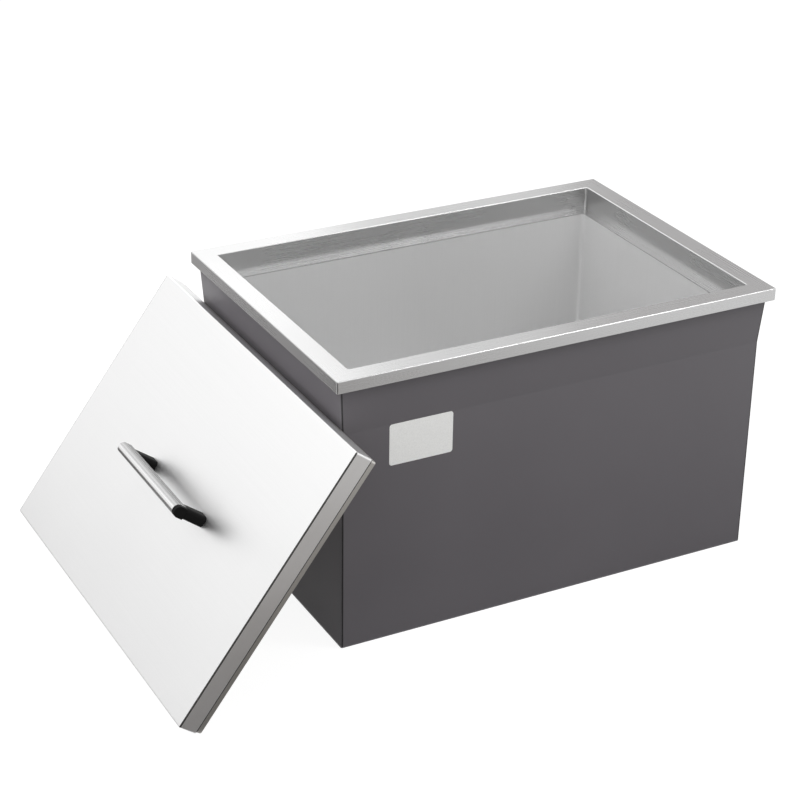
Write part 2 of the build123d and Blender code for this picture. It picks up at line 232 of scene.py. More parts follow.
def mitred_marks(tree, place, grain_mm, reach_mm):
    """Brush marks that run along each side of the rim and change at its mitres, where
    |x| is over |y| by half the difference of the rim's length and width."""
    long_sides = brush_marks(tree, place, "X", grain_mm, reach_mm)
    short_sides = brush_marks(tree, place, "Y", grain_mm, reach_mm)
    axes = add_node(tree, "ShaderNodeSeparateXYZ", {0: place.outputs["Object"]})
    across = add_node(tree, "ShaderNodeMath", {0: axes.outputs["X"]}, operation="ABSOLUTE")
    deep = add_node(tree, "ShaderNodeMath", {0: axes.outputs["Y"]}, operation="ABSOLUTE")
    apart = add_node(
        tree,
        "ShaderNodeMath",
        {0: across.outputs[0], 1: deep.outputs[0]},
        operation="SUBTRACT",
    )
    low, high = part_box("rim_frame")
    mitre = (high.x - low.x - high.y + low.y) / 2
    side = add_node(
        tree,
        "ShaderNodeMath",
        {0: apart.outputs[0], 1: mitre},
        operation="GREATER_THAN",
    )
    both = add_node(
        tree,
        "ShaderNodeMix",
        {0: side.outputs[0], 2: long_sides, 3: short_sides},
        data_type="FLOAT",
    )
    return both.outputs[0]


def end_folds(tree, place):
    """Mask of the painted dark reflection: 1 on the lid's two end folds, to FOLD_REACH on
    each side of the edge, and 0 elsewhere."""
    middle = LID_CORNER + Vector((0.0, LID_L / 2, 0.0))
    spot = add_node(
        tree,
        "ShaderNodeVectorMath",
        {0: place.outputs["Object"], 1: middle},
        operation="SUBTRACT",
    )
    axes = add_node(tree, "ShaderNodeSeparateXYZ", {0: spot.outputs[0]})
    away = add_node(tree, "ShaderNodeMath", {0: axes.outputs["Y"]}, operation="ABSOLUTE")
    edge = add_node(
        tree,
        "ShaderNodeMath",
        {0: away.outputs[0], 1: LID_L / 2 - FOLD_REACH},
        operation="GREATER_THAN",
    )
    height = add_node(
        tree,
        "ShaderNodeVectorMath",
        {0: spot.outputs[0], 1: LID_OUT},
        operation="DOT_PRODUCT",
    )
    near_face = add_node(
        tree,
        "ShaderNodeMath",
        {0: height.outputs["Value"], 1: -FOLD_REACH},
        operation="GREATER_THAN",
    )
    fold = add_node(
        tree,
        "ShaderNodeMath",
        {0: edge.outputs[0], 1: near_face.outputs[0]},
        operation="MULTIPLY",
    )
    return fold.outputs[0]


def sheet_steel(
    name,
    color,
    roughness,
    along,
    grain_mm,
    reach_mm,
    depth_mm=0.008,
    metallic=1.0,
    streak=0.03,
    fold_reflection_color=None,
):
    """Cold-rolled stainless sheet, brushed in one direction. The brushing leaves fine
    parallel scratches: the gloss is soft across them and its edge breaks into streaks.
    Real scratches are 0.1 mm apart; they are drawn coarser so that they show. Metallic
    under 1 stands for the light that a dull brushed sheet scatters evenly; its value is
    fitted, not measured. The fold colour paints a narrow dark band on the lid's end folds:
    a painted dark reflection, in place of the dark line that the near fold shows. What
    makes that line is a guess."""
    finish, tree, output = new_material(name)
    place = add_node(tree, "ShaderNodeTexCoord")
    if along == "mitred":
        marks = mitred_marks(tree, place, grain_mm, reach_mm)
    else:
        marks = brush_marks(tree, place, along, grain_mm, reach_mm)
    handling = add_node(
        tree,
        "ShaderNodeTexNoise",
        {"Vector": place.outputs["Object"], "Scale": 9.0, "Detail": 2.0},
    )
    gloss = add_node(
        tree,
        "ShaderNodeMapRange",
        {
            "Value": marks,
            "From Min": 0.3,
            "From Max": 0.7,
            "To Min": roughness - 1.2 * streak,
            "To Max": roughness + 1.5 * streak,
        },
    )
    cloud = add_node(
        tree,
        "ShaderNodeMapRange",
        {
            "Value": handling.outputs["Fac"],
            "From Min": 0.35,
            "From Max": 0.65,
            "To Min": -0.02,
            "To Max": 0.03,
        },
    )
    rough = add_node(
        tree,
        "ShaderNodeMath",
        {0: gloss.outputs[0], 1: cloud.outputs[0]},
        operation="ADD",
    )
    tone = add_node(
        tree,
        "ShaderNodeMix",
        {0: marks, 6: toned(color, 1 - streak), 7: toned(color, 1 + streak)},
        data_type="RGBA",
    )
    # The fold colour is a painted dark reflection on the lid's end folds
    if fold_reflection_color:
        tone = add_node(
            tree,
            "ShaderNodeMix",
            {0: end_folds(tree, place), 6: tone.outputs[2], 7: (*fold_reflection_color, 1)},
            data_type="RGBA",
        )
    relief = add_node(
        tree,
        "ShaderNodeBump",
        {"Height": marks, "Strength": 0.35, "Distance": depth_mm * MM},
    )
    metal = add_node(
        tree,
        "ShaderNodeBsdfPrincipled",
        {
            "Base Color": tone.outputs[2],
            "Metallic": metallic,
            "Roughness": rough.outputs[0],
            "Normal": relief.outputs[0],
        },
    )
    tree.links.new(metal.outputs[0], output.inputs["Surface"])
    return finish


def steel_with_painted_reflection(name, color, roughness):
    """Satin stainless channel with a painted reflection. The crown keeps the steel's
    colour, and the shoulders, 6 mm either side of it, are painted darker: a painted dark
    reflection, for the dark edges that the real one shows. The crown is bright, and the
    shoulders, 6 mm either side of it, are given a darker tone to match the dark edges
    that the real one shows, which may only be reflections."""
    finish, tree, output = new_material(name)
    place = add_node(tree, "ShaderNodeTexCoord")
    from_corner = add_node(
        tree,
        "ShaderNodeVectorMath",
        {0: place.outputs["Object"], 1: LID_CORNER},
        operation="SUBTRACT",
    )
    across = add_node(
        tree,
        "ShaderNodeVectorMath",
        {0: from_corner.outputs[0], 1: LID_UP},
        operation="DOT_PRODUCT",
    )
    off = add_node(
        tree,
        "ShaderNodeMath",
        {0: across.outputs["Value"], 1: GRIP_U},
        operation="SUBTRACT",
    )
    side = add_node(tree, "ShaderNodeMath", {0: off.outputs[0]}, operation="ABSOLUTE")
    crown = add_node(
        tree,
        "ShaderNodeMapRange",
        {
            "Value": side.outputs[0],
            "From Min": CROWN_FLAT,
            "From Max": CROWN_END,
            "To Min": 1.0,
            "To Max": 0.0,
        },
        interpolation_type="SMOOTHSTEP",
    )
    marks = brush_marks(tree, place, "Y", grain_mm=0.6, reach_mm=60)
    # Painted dark reflection: the shoulders take 0.36 of the steel's colour
    tone = add_node(
        tree,
        "ShaderNodeMix",
        {0: crown.outputs[0], 6: toned(color, 0.36), 7: (*color, 1)},
        data_type="RGBA",
    )
    rough = add_node(
        tree,
        "ShaderNodeMapRange",
        {
            "Value": marks,
            "From Min": 0.3,
            "From Max": 0.7,
            "To Min": roughness - 0.03,
            "To Max": roughness + 0.04,
        },
    )
    metal = add_node(
        tree,
        "ShaderNodeBsdfPrincipled",
        {"Base Color": tone.outputs[2], "Metallic": 1.0, "Roughness": rough.outputs[0]},
    )
    tree.links.new(metal.outputs[0], output.inputs["Surface"])
    return finish


def satin_paint(name, color, roughness):
    """Baked satin enamel on sheet steel. The spray leaves a faint orange peel about
    1.5 mm across, which softens the gloss."""
    finish, tree, output = new_material(name)
    place = add_node(tree, "ShaderNodeTexCoord")
    peel = add_node(
        tree,
        "ShaderNodeTexNoise",
        {"Vector": place.outputs["Object"], "Scale": 650.0, "Detail": 2.0},
    )
    drift = add_node(
        tree,
        "ShaderNodeTexNoise",
        {"Vector": place.outputs["Object"], "Scale": 6.0, "Detail": 3.0},
    )
    tone = add_node(
        tree,
        "ShaderNodeMix",
        {0: drift.outputs["Fac"], 6: toned(color, 0.93), 7: toned(color, 1.07)},
        data_type="RGBA",
    )
    rough = add_node(
        tree,
        "ShaderNodeMapRange",
        {
            "Value": drift.outputs["Fac"],
            "From Min": 0.3,
            "From Max": 0.7,
            "To Min": roughness - 0.04,
            "To Max": roughness + 0.05,
        },
    )
    relief = add_node(
        tree,
        "ShaderNodeBump",
        {"Height": peel.outputs["Fac"], "Strength": 0.3, "Distance": 0.04 * MM},
    )
    paint = add_node(
        tree,
        "ShaderNodeBsdfPrincipled",
        {
            "Base Color": tone.outputs[2],
            "Roughness": rough.outputs[0],
            "IOR": 1.5,
            "Normal": relief.outputs[0],
        },
    )
    tree.links.new(paint.outputs[0], output.inputs["Surface"])
    return finish


def moulding(name, color, roughness, grain_mm, relief_mm, gloss=0.5):
    """Plastic, film, rubber, foam, or a dark strip of painted shade: an even colour with a
    fine grain, which softens the gloss."""
    finish, tree, output = new_material(name)
    place = add_node(tree, "ShaderNodeTexCoord")
    grain = add_node(
        tree,
        "ShaderNodeTexNoise",
        {"Vector": place.outputs["Object"], "Scale": 1000 / grain_mm, "Detail": 3.0},
    )
    tone = add_node(
        tree,
        "ShaderNodeMix",
        {0: grain.outputs["Fac"], 6: toned(color, 0.85), 7: toned(color, 1.15)},
        data_type="RGBA",
    )
    rough = add_node(
        tree,
        "ShaderNodeMapRange",
        {
            "Value": grain.outputs["Fac"],
            "From Min": 0.3,
            "From Max": 0.7,
            "To Min": roughness - 0.05,
            "To Max": roughness + 0.06,
        },
    )
    relief = add_node(
        tree,
        "ShaderNodeBump",
        {"Height": grain.outputs["Fac"], "Strength": 0.5, "Distance": relief_mm * MM},
    )
    body = add_node(
        tree,
        "ShaderNodeBsdfPrincipled",
        {
            "Base Color": tone.outputs[2],
            "Roughness": rough.outputs[0],
            "IOR": 1.5,
            "Specular IOR Level": gloss,
            "Normal": relief.outputs[0],
        },
    )
    tree.links.new(body.outputs[0], output.inputs["Surface"])
    return finish


# Sizes and colours that a user would change


class CoolerSteel(bpy.types.PropertyGroup):
    """Colours and grain of the steel"""

    rim: bpy.props.FloatVectorProperty(
        name="Rim steel",
        description="Base colour of the rim's sheet",
        subtype="COLOR",
        default=linear("#C6C6C6"),
    )
    liner: bpy.props.FloatVectorProperty(
        name="Bin steel",
        description="Base colour of the bin's sheet",
        subtype="COLOR",
        default=linear("#E4E4E4"),
    )
    lid: bpy.props.FloatVectorProperty(
        name="Lid steel",
        description="Base colour of the lid's face",
        subtype="COLOR",
        default=linear("#F1F1F1"),
    )
    pan: bpy.props.FloatVectorProperty(
        name="Pan steel",
        description="Base colour of the pan under the lid",
        subtype="COLOR",
        default=linear("#CCCAC6"),
    )
    grip: bpy.props.FloatVectorProperty(
        name="Grip steel",
        description="Base colour of the handle's grip",
        subtype="COLOR",
        default=linear("#E8E8E8"),
    )
    grain_mm: bpy.props.FloatProperty(
        name="Grain",
        description="Width of the drawn brush marks in millimetres",
        default=1.1,
        min=0.2,
        max=6.0,
    )


class CoolerCasing(bpy.types.PropertyGroup):
    """Colour and gloss of the casing"""

    paint: bpy.props.FloatVectorProperty(
        name="Paint",
        description="Colour of the casing's satin enamel",
        subtype="COLOR",
        default=linear("#615E62"),
    )
    roughness: bpy.props.FloatProperty(
        name="Roughness",
        description="Roughness of the enamel",
        subtype="FACTOR",
        default=0.42,
        min=0.0,
        max=1.0,
    )


class CoolerLabel(bpy.types.PropertyGroup):
    """Size and colour of the blank label plate"""

    width: bpy.props.FloatProperty(
        name="Width",
        description="Width of the blank label plate",
        subtype="DISTANCE",
        unit="LENGTH",
        default=0.0704,
    )
    height: bpy.props.FloatProperty(
        name="Height",
        description="Height of the blank label plate",
        subtype="DISTANCE",
        unit="LENGTH",
        default=0.045,
    )
    corner: bpy.props.FloatProperty(
        name="Corner",
        description="Corner radius of the plate",
        subtype="DISTANCE",
        unit="LENGTH",
        default=0.003,
    )
    thick: bpy.props.FloatProperty(
        name="Thickness",
        description="Thickness of the plate",
        subtype="DISTANCE",
        unit="LENGTH",
        default=0.0004,
    )
    film: bpy.props.FloatVectorProperty(
        name="Film",
        description="Colour of the plate",
        subtype="COLOR",
        default=linear("#F0F0EE"),
    )


class CoolerPlastics(bpy.types.PropertyGroup):
    """Colours of the moulded parts and the foam"""

    leg: bpy.props.FloatVectorProperty(
        name="Legs",
        description="Colour of the handle's legs",
        subtype="COLOR",
        default=linear("#0E0E0E"),
    )
    drain: bpy.props.FloatVectorProperty(
        name="Drain",
        description="Colour of the drain fitting",
        subtype="COLOR",
        default=linear("#262626"),
    )
    foam: bpy.props.FloatVectorProperty(
        name="Foam",
        description="Colour of the insulation",
        subtype="COLOR",
        default=linear("#E8DDBE"),
    )


class CoolerStage(bpy.types.PropertyGroup):
    """Floor, lamps and reflected cards of the studio"""

    floor: bpy.props.FloatVectorProperty(
        name="Floor",
        description="Colour of the floor",
        subtype="COLOR",
        default=linear("#8C8C8C"),
    )
    sky: bpy.props.FloatProperty(
        name="Sky",
        description="Level of the even light from all round",
        default=0.6,
        min=0.0,
        max=2.0,
    )
    key: bpy.props.FloatProperty(
        name="Key lamp",
        description="Power of the lamp at the front right",
        subtype="POWER",
        unit="POWER",
        default=8.0,
    )
    front: bpy.props.FloatProperty(
        name="Front lamp",
        description="Power of the lamp before the front panel",
        subtype="POWER",
        unit="POWER",
        default=10.0,
    )
    top: bpy.props.FloatProperty(
        name="Top lamp",
        description="Power of the lamp above the open bin",
        subtype="POWER",
        unit="POWER",
        default=6.0,
    )
    back: bpy.props.FloatProperty(
        name="Back lamp",
        description="Power of the lamp behind the bin",
        subtype="POWER",
        unit="POWER",
        default=1.6,
    )
    left: bpy.props.FloatProperty(
        name="Left lamp",
        description="Power of the lamp at the left",
        subtype="POWER",
        unit="POWER",
        default=31.0,
    )
    lid: bpy.props.FloatProperty(
        name="Lid lamp",
        description="Power of the lamp over the leaning lid",
        subtype="POWER",
        unit="POWER",
        default=5.0,
    )
    card_dark: bpy.props.FloatVectorProperty(
        name="Dark card",
        description="Grey that metal reflects from the front left",
        subtype="COLOR",
        default=linear("#94908D"),
    )
    card_left: bpy.props.FloatVectorProperty(
        name="Left card",
        description="Grey that metal reflects from the left",
        subtype="COLOR",
        default=linear("#A8A6A6"),
    )
    card_rear: bpy.props.FloatVectorProperty(
        name="Rear card",
        description="Grey that metal reflects from behind",
        subtype="COLOR",
        default=linear("#8C8A8A"),
    )
    card_shade: bpy.props.FloatVectorProperty(
        name="Shade card",
        description="Grey of the shade round the base",
        subtype="COLOR",
        default=linear("#5E5C5C"),
    )
    card_side: bpy.props.FloatVectorProperty(
        name="Side card",
        description="Grey that metal reflects from the right",
        subtype="COLOR",
        default=linear("#CCCACA"),
    )
    card_light: bpy.props.FloatVectorProperty(
        name="Light card",
        description="Grey that metal reflects from the front right",
        subtype="COLOR",
        default=linear("#FFFFFF"),
    )


# Pieces


class COOLER_OT_rim(bpy.types.Operator):
    """Finish the rim frame"""

    bl_idname = "cooler.rim"
    bl_label = "Rim"

    def execute(self, context):
        steel = context.scene.cooler_steel
        sheet = sheet_steel(
            "Folded stainless sheet",
            steel.rim,
            roughness=0.27,
            along="mitred",
            grain_mm=steel.grain_mm,
            reach_mm=160,
            depth_mm=0.002,
            metallic=0.92,
            streak=0.015,
        )
        dress("rim_frame", sheet)
        return {"FINISHED"}


class COOLER_OT_bin(bpy.types.Operator):
    """Finish the steel bin"""

    bl_idname = "cooler.bin"
    bl_label = "Bin"

    def execute(self, context):
        steel = context.scene.cooler_steel
        sheet = sheet_steel(
            "Brushed stainless bin sheet",
            steel.liner,
            roughness=0.34,
            along="Z",
            grain_mm=steel.grain_mm,
            reach_mm=120,
            depth_mm=0.006,
            metallic=0.65,
        )
        dress("inner_liner", sheet)
        return {"FINISHED"}


class COOLER_OT_casing(bpy.types.Operator):
    """Finish the casing panels and the foam behind them"""

    bl_idname = "cooler.casing"
    bl_label = "Casing"

    def execute(self, context):
        casing = context.scene.cooler_casing
        paint = satin_paint("Baked satin enamel", casing.paint, casing.roughness)
        for name in ("outer_front", "outer_back", "outer_left", "outer_right", "bottom_panel"):
            dress(name, paint)
        foam = moulding(
            "Rigid polyurethane foam",
            context.scene.cooler_plastics.foam,
            roughness=0.9,
            grain_mm=2.5,
            relief_mm=0.3,
        )
        for name in ("wall_foam", "base_foam", "lid_foam"):
            dress(name, foam)
        return {"FINISHED"}


def rounded_outline(width, height, radius, steps=6):
    """Points of a rounded rectangle about the origin, anticlockwise."""
    points = []
    for cx, cy, start in ((1, 1, 0), (-1, 1, 90), (-1, -1, 180), (1, -1, 270)):
        for i in range(steps + 1):
            a = math.radians(start + 90 * i / steps)
            x = cx * (width / 2 - radius) + radius * math.cos(a)
            y = cy * (height / 2 - radius) + radius * math.sin(a)
            points.append((x, y))
    return points


def swept_strip(shape, sections):
    """A closed strip through like sections, each a ring of points, capped at both ends."""
    rings = [[shape.verts.new(point) for point in section] for section in sections]
    for low, high in zip(rings, rings[1:]):
        for i in range(len(low)):
            j = (i + 1) % len(low)
            shape.faces.new((low[i], low[j], high[j], high[i]))
    shape.faces.new(rings[0])
    shape.faces.new(rings[-1])


class COOLER_OT_label(bpy.types.Operator):
    """Make the blank label plate on the front panel"""

    bl_idname = "cooler.label"
    bl_label = "Label plate"

    def execute(self, context):
        label = context.scene.cooler_label
        mesh = bpy.data.meshes.new("label_plate")
        shape = bmesh.new()
        outline = rounded_outline(label.width, label.height, label.corner)
        rings = []
        for y in (FRONT_FACE, FRONT_FACE - label.thick):
            rings.append([(x + LABEL_X, y, z + LABEL_Z) for x, z in outline])
        swept_strip(shape, rings)
        write_mesh(shape, mesh)
        film = moulding(
            "Blank vinyl label film",
            label.film,
            roughness=0.45,
            grain_mm=0.8,
            relief_mm=0.01,
        )
        mesh.materials.append(film)
        keep_piece(mesh, "label_plate", "bin")
        return {"FINISHED"}


def casing_seams(bead):
    """A dark strip up each corner seam of the casing, which follows the flare: painted
    shade in the seam's gap.
    """
    corner = -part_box("bottom_panel")[0]
    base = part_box("outer_left")[0].z
    heights = ((base, 0.0), (FLARE_LOW, 0.0), (FLARE_HIGH, FLARE_OUT), (SEAM_SHADE_TOP, FLARE_OUT))
    mesh = bpy.data.meshes.new("casing_seams")
    shape = bmesh.new()
    for sx in (-1, 1):
        for sy in (-1, 1):
            rings = []
            for z, out in heights:
                ring = []
                for a, b in SEAM_SHADE_PLAN:
                    ring.append((sx * (corner.x + out + a * MM), sy * (corner.y + out + b * MM), z))
                rings.append(ring)
            swept_strip(shape, rings)
    write_mesh(shape, mesh)
    mesh.materials.append(bead)
    return mesh


def lip_seams(bead):
    """The dark strip in the slit at each mitre of the rim's lip, turned to the mitre's
    diagonal: painted shade in the slit."""
    sizes = ("Width", "Depth", "Middle", "Height", "Across", "Thick")
    tree, given, output = shape_tree("Lip seams", sizes)
    corners = add_node(
        tree,
        "GeometryNodeMeshGrid",
        {
            "Size X": given.outputs["Width"],
            "Size Y": given.outputs["Depth"],
            "Vertices X": 2,
            "Vertices Y": 2,
        },
    )
    lift = add_node(tree, "ShaderNodeCombineXYZ", {"Z": given.outputs["Middle"]})
    raised = add_node(
        tree,
        "GeometryNodeTransform",
        {"Geometry": corners.outputs[0], "Translation": lift.outputs[0]},
    )
    size = add_node(
        tree,
        "ShaderNodeCombineXYZ",
        {
            "X": given.outputs["Thick"],
            "Y": given.outputs["Across"],
            "Z": given.outputs["Height"],
        },
    )
    bar = add_node(tree, "GeometryNodeMeshCube", {"Size": size.outputs[0]})
    spot = add_node(tree, "GeometryNodeInputPosition")
    axes = add_node(tree, "ShaderNodeSeparateXYZ", {0: spot.outputs[0]})
    quarter = add_node(
        tree,
        "ShaderNodeMath",
        {0: axes.outputs["X"], 1: axes.outputs["Y"]},
        operation="MULTIPLY",
    )
    sign = add_node(tree, "ShaderNodeMath", {0: quarter.outputs[0]}, operation="SIGN")
    angle = add_node(
        tree,
        "ShaderNodeMath",
        {0: sign.outputs[0], 1: math.pi / 4},
        operation="MULTIPLY",
    )
    turn = add_node(tree, "ShaderNodeCombineXYZ", {"Z": angle.outputs[0]})
    beads = add_node(
        tree,
        "GeometryNodeInstanceOnPoints",
        {"Points": raised.outputs[0], "Instance": bar.outputs[0], "Rotation": turn.outputs[0]},
    )
    close_tree(tree, given, output, beads.outputs[0])
    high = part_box("rim_frame")[1]
    bottom = high.z - SLIT_END
    top = high.z - SLIT_TOP
    values = {
        "Width": 2 * (high.x - SLIT_INSET),
        "Depth": 2 * (high.y - SLIT_INSET),
        "Middle": (bottom + top) / 2,
        "Height": top - bottom,
        "Across": SLIT_ACROSS,
        "Thick": SLIT_THICK,
        "Material": bead,
    }
    return grow_mesh(tree, values)


class COOLER_OT_seams(bpy.types.Operator):
    """Make the dark strips of painted shade in the casing's corner seams and the rim lip's slits"""

    bl_idname = "cooler.seams"
    bl_label = "Seams"

    def execute(self, context):
        # Painted shade: a near-black strip stands in the seams and slits, where there is only shade
        bead = moulding(
            "Dark seam strip, painted shade",
            linear("#1C1B1C"),
            roughness=0.5,
            grain_mm=1.2,
            relief_mm=0.02,
        )
        keep_piece(casing_seams(bead), "casing_seams", "bin")
        keep_piece(lip_seams(bead), "rim_seams", "bin")
        return {"FINISHED"}


class COOLER_OT_drain(bpy.types.Operator):
    """Finish the drain fitting and its plug"""

    bl_idname = "cooler.drain"
    bl_label = "Drain"

    def execute(self, context):
        fitting = moulding(
            "Moulded polypropylene fitting",
            context.scene.cooler_plastics.drain,
            roughness=0.42,
            grain_mm=0.6,
            relief_mm=0.02,
        )
        rubber = moulding(
            "Nitrile rubber seal",
            linear("#121212"),
            roughness=0.6,
            grain_mm=0.5,
            relief_mm=0.02,
        )
        for name in ("drain_body", "drain_locknut", "drain_plug_body"):
            dress(name, fitting)
        for name in ("drain_gasket", "drain_plug_seal"):
            dress(name, rubber)
        return {"FINISHED"}


def groove_strip(rubber):
    """The strip that closes the groove between the skirt's edge, 19.5 mm below the lid's
    face, and the pan's hem: painted shade, a near-black strip that shows there as a dark line."""
    tree, given, output = shape_tree("Groove strip", ("Width", "Length", "Corner", "Across", "Thick"))
    border = add_node(
        tree,
        "GeometryNodeCurvePrimitiveQuadrilateral",
        {"Width": given.outputs["Width"], "Height": given.outputs["Length"]},
    )
    path = add_node(
        tree,
        "GeometryNodeFilletCurve",
        {"Curve": border.outputs[0], "Count": 5, "Radius": given.outputs["Corner"]},
        mode="POLY",
    )
    section = add_node(
        tree,
        "GeometryNodeCurvePrimitiveQuadrilateral",
        {"Width": given.outputs["Across"], "Height": given.outputs["Thick"]},
    )
    strip = add_node(
        tree,
        "GeometryNodeCurveToMesh",
        {"Curve": path.outputs[0], "Profile Curve": section.outputs[0]},
    )
    half_length = Vector((0.0, LID_L / 2, 0.0))
    middle = LID_CORNER + LID_UP * LID_W / 2 + half_length - LID_OUT * STRIP_DROP
    placed = add_node(
        tree,
        "GeometryNodeTransform",
        {
            "Geometry": strip.outputs[0],
            "Translation": middle,
            "Rotation": (0.0, -LID_TILT, 0.0),
        },
    )
    close_tree(tree, given, output, placed.outputs[0])
    values = {
        "Width": LID_W - 2 * STRIP_INSET,
        "Length": LID_L - 2 * STRIP_INSET,
        "Corner": STRIP_CORNER,
        "Across": STRIP_ACROSS,
        "Thick": STRIP_THICK,
        "Material": rubber,
    }
    return grow_mesh(tree, values)


class COOLER_OT_lid(bpy.types.Operator):
    """Finish the lid and make the strip of painted shade in its groove"""

    bl_idname = "cooler.lid"
    bl_label = "Lid"

    def execute(self, context):
        steel = context.scene.cooler_steel
        face = sheet_steel(
            "Fine brushed lid sheet",
            steel.lid,
            roughness=0.38,
            along="Y",
            grain_mm=steel.grain_mm,
            reach_mm=200,
            depth_mm=0.004,
            # Painted dark reflection on the lid's end folds
            fold_reflection_color=linear("#555453"),
        )
        dress("lid_skin", face)
        pan = sheet_steel(
            "Satin lid pan sheet",
            steel.pan,
            roughness=0.34,
            along="Y",
            grain_mm=steel.grain_mm,
            reach_mm=160,
        )
        dress("lid_pan", pan)
        plate = sheet_steel(
            "Plain steel plate",
            steel.pan,
            roughness=0.4,
            along="Y",
            grain_mm=steel.grain_mm,
            reach_mm=60,
        )
        dress("lid_backing_plate", plate)
        # Painted shade: a near-black strip in the lid's groove, where there is only shade
        rubber = moulding(
            "Black groove strip, painted shade",
            linear("#161616"),
            roughness=0.7,
            grain_mm=0.8,
            relief_mm=0.05,
        )
        keep_piece(groove_strip(rubber), "lid_groove_shade", "lid")
        return {"FINISHED"}


class COOLER_OT_handle(bpy.types.Operator):
    """Finish the handle and its screws"""

    bl_idname = "cooler.handle"
    bl_label = "Handle"

    def execute(self, context):
        steel = context.scene.cooler_steel
        dress("handle_grip", steel_with_painted_reflection("Satin grip steel with painted reflection", steel.grip, 0.22))
        leg = moulding(
            "Black satin ABS",
            context.scene.cooler_plastics.leg,
            roughness=0.6,
            grain_mm=0.5,
            relief_mm=0.01,
            gloss=0.1,
        )
        for name in ("handle_leg_front", "handle_leg_rear"):
            dress(name, leg)
        screw = sheet_steel(
            "Turned stainless screw",
            linear("#C8C8C8"),
            roughness=0.25,
            along="Y",
            grain_mm=0.5,
            reach_mm=0.6,
        )
        for name in ("handle_screws", "handle_washers"):
            dress(name, screw)
        return {"FINISHED"}


# Studio


def shown_share(tree):
    """1 where the camera sees the surface, also through glass or in a reflection."""
    path = add_node(tree, "ShaderNodeLightPath")
    seen = add_node(
        tree,
        "ShaderNodeMath",
        {0: path.outputs["Is Camera Ray"], 1: path.outputs["Is Transmission Ray"]},
        operation="MAXIMUM",
    )
    share = add_node(
        tree,
        "ShaderNodeMath",
        {0: seen.outputs[0], 1: path.outputs["Is Glossy Ray"]},
        operation="MAXIMUM",
    )
    return share.outputs[0]


def lying(low, high, z):
    """Corners of a level rectangle between two corners of its plan, anticlockwise."""
    return [(low[0], low[1], z), (high[0], low[1], z), (high[0], high[1], z), (low[0], high[1], z)]


def flat_mesh(name, corners, finish):
    """A mesh of one four-sided face."""
    mesh = bpy.data.meshes.new(name)
    mesh.from_pydata(corners, [], [(0, 1, 2, 3)])
    mesh.materials.append(finish)
    return mesh


def add_lamp(name, power, size, place, aim, mirrored=True):
    """A square softbox, turned to what it lights and out of the picture. One that isn't
    mirrored lights painted and matt surfaces, and metal doesn't glare with it."""
    lamp = bpy.data.lights.new(name, "AREA")
    lamp.energy = power
    lamp.size = size
    box = bpy.data.objects.new(name, lamp)
    box.location = place
    box.rotation_euler = (Vector(aim) - Vector(place)).to_track_quat("-Z", "Y").to_euler()
    box.visible_camera = False
    box.visible_glossy = mirrored
    bpy.context.scene.collection.objects.link(box)


def reflected_only(name, corners, finish):
    """A card that is seen in reflections only: it lights, shades and hides nothing."""
    made = bpy.data.objects.new(name, flat_mesh(name, corners, finish))
    made.visible_camera = False
    made.visible_diffuse = False
    made.visible_transmission = False
    made.visible_shadow = False
    bpy.context.scene.collection.objects.link(made)


def add_card(name, near, far, corners, start=0.0, end=1.0, axis="X"):
    """A grey card that only reflections show. It gives bright metal its darker side. Its
    grey runs from near to far between two places along an axis."""
    card, tree, output = new_material(name)
    place = add_node(tree, "ShaderNodeTexCoord")
    axes = add_node(tree, "ShaderNodeSeparateXYZ", {0: place.outputs["Object"]})
    along = add_node(
        tree,
        "ShaderNodeMapRange",
        {"Value": axes.outputs[axis], "From Min": start, "From Max": end},
    )
    shade = add_node(
        tree,
        "ShaderNodeMix",
        {0: along.outputs[0], 6: (*near, 1), 7: (*far, 1)},
        data_type="RGBA",
    )
    grey = add_node(tree, "ShaderNodeEmission", {"Color": shade.outputs[2], "Strength": 1.0})
    tree.links.new(grey.outputs[0], output.inputs["Surface"])
    reflected_only(name, corners, card)


def add_shade(name, grey, middle, half, reach, depth):
    """The shade that the floor has close round the base, which only reflections show. It
    is strongest beside the object and fades out over its reach."""
    card, tree, output = new_material(name)
    place = add_node(tree, "ShaderNodeTexCoord")
    apart = add_node(
        tree,
        "ShaderNodeVectorMath",
        {0: place.outputs["Object"], 1: (*middle, 0.0)},
        operation="SUBTRACT",
    )
    away = add_node(tree, "ShaderNodeVectorMath", {0: apart.outputs[0]}, operation="ABSOLUTE")
    past = add_node(
        tree,
        "ShaderNodeVectorMath",
        {0: away.outputs[0], 1: (*half, 1.0)},
        operation="SUBTRACT",
    )
    clear = add_node(
        tree,
        "ShaderNodeVectorMath",
        {0: past.outputs[0], 1: (0.0, 0.0, 0.0)},
        operation="MAXIMUM",
    )
    far = add_node(tree, "ShaderNodeVectorMath", {0: clear.outputs[0]}, operation="LENGTH")
    share = add_node(
        tree,
        "ShaderNodeMapRange",
        {
            "Value": far.outputs["Value"],
            "From Min": 0.0,
            "From Max": reach,
            "To Min": depth,
            "To Max": 0.0,
        },
        interpolation_type="SMOOTHSTEP",
    )
    clean = add_node(tree, "ShaderNodeBsdfTransparent")
    shade = add_node(tree, "ShaderNodeEmission", {"Color": (*grey, 1), "Strength": 1.0})
    mixed = add_node(
        tree,
        "ShaderNodeMixShader",
        {0: share.outputs[0], 1: clean.outputs[0], 2: shade.outputs[0]},
    )
    tree.links.new(mixed.outputs[0], output.inputs["Surface"])
    wide = half[0] + reach
    deep = half[1] + reach
    low = (middle[0] - wide, middle[1] - deep)
    high = (middle[0] + wide, middle[1] + deep)
    reflected_only(name, lying(low, high, SHADE_Z), card)


